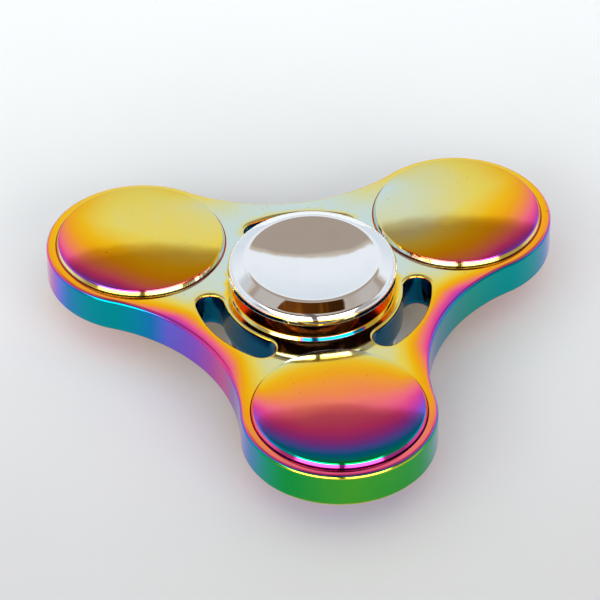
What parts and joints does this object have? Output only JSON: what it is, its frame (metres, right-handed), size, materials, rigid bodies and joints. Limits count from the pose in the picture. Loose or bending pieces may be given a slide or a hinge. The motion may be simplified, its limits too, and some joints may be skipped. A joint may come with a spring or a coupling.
{
  "type": "fidget spinner",
  "caption": "Three-lobed rotor with domed discs and curved slots, spinning on a small ball bearing between two dished finger caps.",
  "frame": {"origin": "centre of the ball bearing, on the spin axis at the mid-plane of the rotor", "axes": "+Z along the spin axis, out of the top finger cap; -Y towards the front lobe; +X to the right of it"},
  "size_m": [0.0678, 0.0621, 0.015],
  "materials": {
    "rainbow_plating": "mirror-polished zinc alloy with an interference plating that shifts from gold through pink and violet to teal",
    "polished_chrome": "mirror-polished chrome plate",
    "bearing_steel": "ground bearing steel",
    "shield_steel": "rolled stainless sheet",
    "ball_steel": "polished bearing balls",
    "cage_brass": "pressed brass cage"
  },
  "bodies": {
    "caps": {"finger_cap_top": "polished_chrome", "finger_cap_bottom": "polished_chrome", "bearing_inner_race": "bearing_steel"},
    "rotor": {"rotor_frame": "rainbow_plating", "lobe_disc_front_top": "rainbow_plating", "lobe_disc_right_top": "rainbow_plating", "lobe_disc_left_top": "rainbow_plating", "lobe_disc_front_bottom": "rainbow_plating", "lobe_disc_right_bottom": "rainbow_plating", "lobe_disc_left_bottom": "rainbow_plating", "bearing_outer_race": "bearing_steel", "bearing_shield_top": "shield_steel", "bearing_shield_bottom": "shield_steel", "shield_clip_top": "shield_steel", "shield_clip_bottom": "shield_steel"},
    "cage": {"bearing_cage": "cage_brass"},
    "ball_01": {"bearing_ball_01": "ball_steel"},
    "ball_02": {"bearing_ball_02": "ball_steel"},
    "ball_03": {"bearing_ball_03": "ball_steel"},
    "ball_04": {"bearing_ball_04": "ball_steel"},
    "ball_05": {"bearing_ball_05": "ball_steel"},
    "ball_06": {"bearing_ball_06": "ball_steel"},
    "ball_07": {"bearing_ball_07": "ball_steel"},
    "ball_08": {"bearing_ball_08": "ball_steel"},
    "ball_09": {"bearing_ball_09": "ball_steel"},
    "ball_10": {"bearing_ball_10": "ball_steel"}
  },
  "joints": [
    {"name": "rotor_spin", "type": "hinge", "parent": "caps", "child": "rotor", "pos_m": [0, 0, 0], "axis": [0, 0, 1], "continuous": true},
    {"name": "cage_orbit", "type": "hinge", "parent": "caps", "child": "cage", "pos_m": [0, 0, 0], "axis": [0, 0, 1], "continuous": true},
    {"name": "ball_01_spin", "type": "hinge", "parent": "cage", "child": "ball_01", "pos_m": [0.00385, 0.0028, 0], "axis": [0, 0, 1], "continuous": true},
    {"name": "ball_02_spin", "type": "hinge", "parent": "cage", "child": "ball_02", "pos_m": [0.00147, 0.00453, 0], "axis": [0, 0, 1], "continuous": true},
    {"name": "ball_03_spin", "type": "hinge", "parent": "cage", "child": "ball_03", "pos_m": [-0.00147, 0.00453, 0], "axis": [0, 0, 1], "continuous": true},
    {"name": "ball_04_spin", "type": "hinge", "parent": "cage", "child": "ball_04", "pos_m": [-0.00385, 0.0028, 0], "axis": [0, 0, 1], "continuous": true},
    {"name": "ball_05_spin", "type": "hinge", "parent": "cage", "child": "ball_05", "pos_m": [-0.00476, 0, 0], "axis": [0, 0, 1], "continuous": true},
    {"name": "ball_06_spin", "type": "hinge", "parent": "cage", "child": "ball_06", "pos_m": [-0.00385, -0.0028, 0], "axis": [0, 0, 1], "continuous": true},
    {"name": "ball_07_spin", "type": "hinge", "parent": "cage", "child": "ball_07", "pos_m": [-0.00147, -0.00453, 0], "axis": [0, 0, 1], "continuous": true},
    {"name": "ball_08_spin", "type": "hinge", "parent": "cage", "child": "ball_08", "pos_m": [0.00147, -0.00453, 0], "axis": [0, 0, 1], "continuous": true},
    {"name": "ball_09_spin", "type": "hinge", "parent": "cage", "child": "ball_09", "pos_m": [0.00385, -0.0028, 0], "axis": [0, 0, 1], "continuous": true},
    {"name": "ball_10_spin", "type": "hinge", "parent": "cage", "child": "ball_10", "pos_m": [0.00476, 0, 0], "axis": [0, 0, 1], "continuous": true}
  ],
  "couplings": [
    {"joint": "cage_orbit", "follows": "rotor_spin", "ratio": 0.58333},
    {"joint": "ball_01_spin", "follows": "rotor_spin", "ratio": 2.9167},
    {"joint": "ball_02_spin", "follows": "rotor_spin", "ratio": 2.9167},
    {"joint": "ball_03_spin", "follows": "rotor_spin", "ratio": 2.9167},
    {"joint": "ball_04_spin", "follows": "rotor_spin", "ratio": 2.9167},
    {"joint": "ball_05_spin", "follows": "rotor_spin", "ratio": 2.9167},
    {"joint": "ball_06_spin", "follows": "rotor_spin", "ratio": 2.9167},
    {"joint": "ball_07_spin", "follows": "rotor_spin", "ratio": 2.9167},
    {"joint": "ball_08_spin", "follows": "rotor_spin", "ratio": 2.9167},
    {"joint": "ball_09_spin", "follows": "rotor_spin", "ratio": 2.9167},
    {"joint": "ball_10_spin", "follows": "rotor_spin", "ratio": 2.9167}
  ]
}
